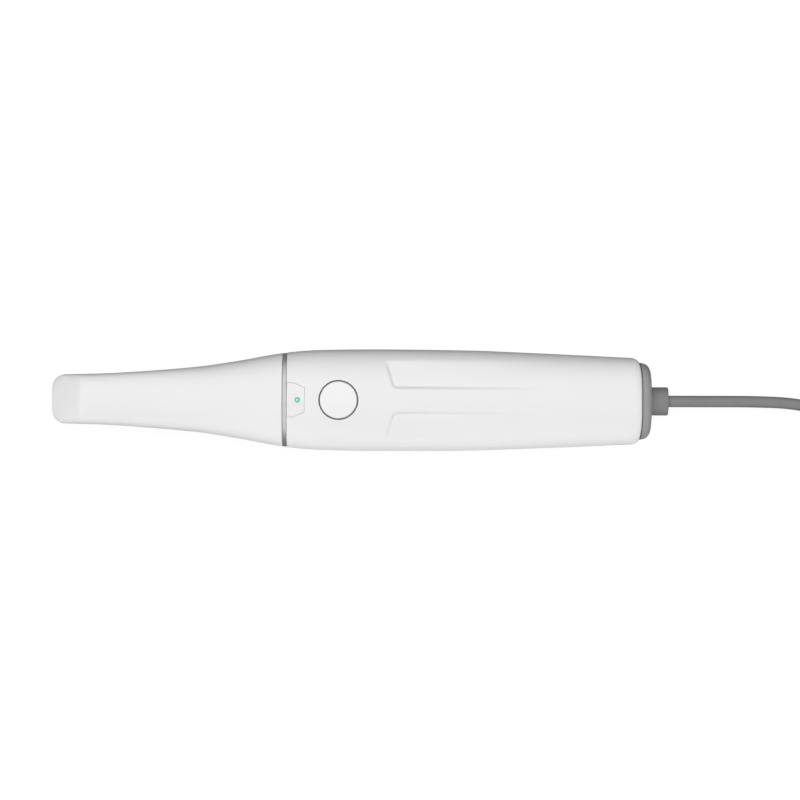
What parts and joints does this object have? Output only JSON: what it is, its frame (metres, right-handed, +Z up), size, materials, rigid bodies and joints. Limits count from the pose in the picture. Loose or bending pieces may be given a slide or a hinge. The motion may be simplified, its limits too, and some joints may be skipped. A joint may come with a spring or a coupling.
{
  "type": "intraoral camera",
  "caption": "Handheld dental camera wand: white tapered tip that slides off, satin collar, round button, status light, grip scoops, grey end cap and a USB lead folded into a tied hank.",
  "frame": {"origin": "middle of the wand's bounding box, on the surface that its belly rests on, the lead left out", "axes": "+X along the wand from the tip towards the lead, +Y across it, +Z up out of the button"},
  "size_m": [0.5172, 0.0471, 0.038],
  "materials": {
    "tip_white": "satin moulded, autoclavable",
    "shell_white": "satin moulded with a fine texture",
    "button_white": "satin moulded",
    "clear_pane": "clear, coated",
    "front_mirror": "front-surface mirror",
    "black_plastic": "matt",
    "nose_metal": "bead blasted, anodised",
    "black_rubber": "matt",
    "satin_ring": "satin turned",
    "screw_steel": "plain",
    "grey_rubber": "matt",
    "switch_metal": "plain",
    "board_green": "solder mask",
    "status_pane": "translucent",
    "status_green": "lit green",
    "bench_metal": "machined",
    "black_metal": "black anodised",
    "lens_glass": "coated",
    "sensor_glass": "glossy",
    "led_yellow": "phosphor",
    "chip_black": "matt",
    "pad_grey": "soft",
    "flex_amber": "polyimide film",
    "cap_grey": "satin",
    "relief_grey": "satin",
    "lead_grey": "satin jacket",
    "wire_copper": "bare",
    "header_white": "moulded",
    "strap_black": "hook and loop",
    "plug_grey": "overmoulded",
    "plug_steel": "nickel plated",
    "plug_tongue": "moulded"
  },
  "bodies": {
    "handle": {"nose_barrel": "nose_metal", "nose_window": "clear_pane", "tip_seal": "black_rubber", "tip_collar": "satin_ring", "top_shell": "shell_white", "bottom_shell": "shell_white", "shell_screws": "screw_steel", "screw_plugs": "grey_rubber", "button_gasket": "grey_rubber", "tact_switch": "switch_metal", "button_board": "board_green", "button_board_screws": "screw_steel", "status_window": "status_pane", "light_pipe": "status_green", "status_led": "status_green", "optical_bench": "bench_metal", "camera_tube": "black_metal", "camera_front_lens": "lens_glass", "camera_rear_lens": "lens_glass", "camera_board": "board_green", "image_sensor": "sensor_glass", "projector_tube": "black_metal", "projector_lens": "lens_glass", "projector_board": "board_green", "projector_led": "led_yellow", "main_board": "board_green", "board_chips": "chip_black", "board_screws": "screw_steel", "thermal_pad": "pad_grey", "heat_spreader": "bench_metal", "ribbon_cable": "flex_amber", "ribbon_socket": "black_plastic", "rear_cap": "cap_grey", "strain_relief": "relief_grey", "lead_tail": "lead_grey", "lead_wires": "wire_copper", "lead_header": "header_white", "lead_clamp": "black_plastic", "clamp_screws": "screw_steel", "lead": "lead_grey", "lead_hank": "lead_grey", "lead_strap": "strap_black", "lead_end": "lead_grey", "plug_body": "plug_grey", "plug_shell": "plug_steel", "plug_tongue": "plug_tongue"},
    "tip": {"tip_shell": "tip_white", "tip_window": "clear_pane", "tip_mirror": "front_mirror", "mirror_frame": "black_plastic"},
    "button": {"button_cap": "button_white", "switch_plunger": "black_plastic"}
  },
  "joints": [
    {"name": "tip_slide", "type": "slide", "parent": "handle", "child": "tip", "axis": [-1, 0, 0], "range_m": [0, 0.045]},
    {"name": "button_press", "type": "slide", "parent": "handle", "child": "button", "axis": [0, 0, -1], "range_m": [0, 0.0005], "stiffness_N_per_m": 2500, "springref_m": -0.0004}
  ]
}
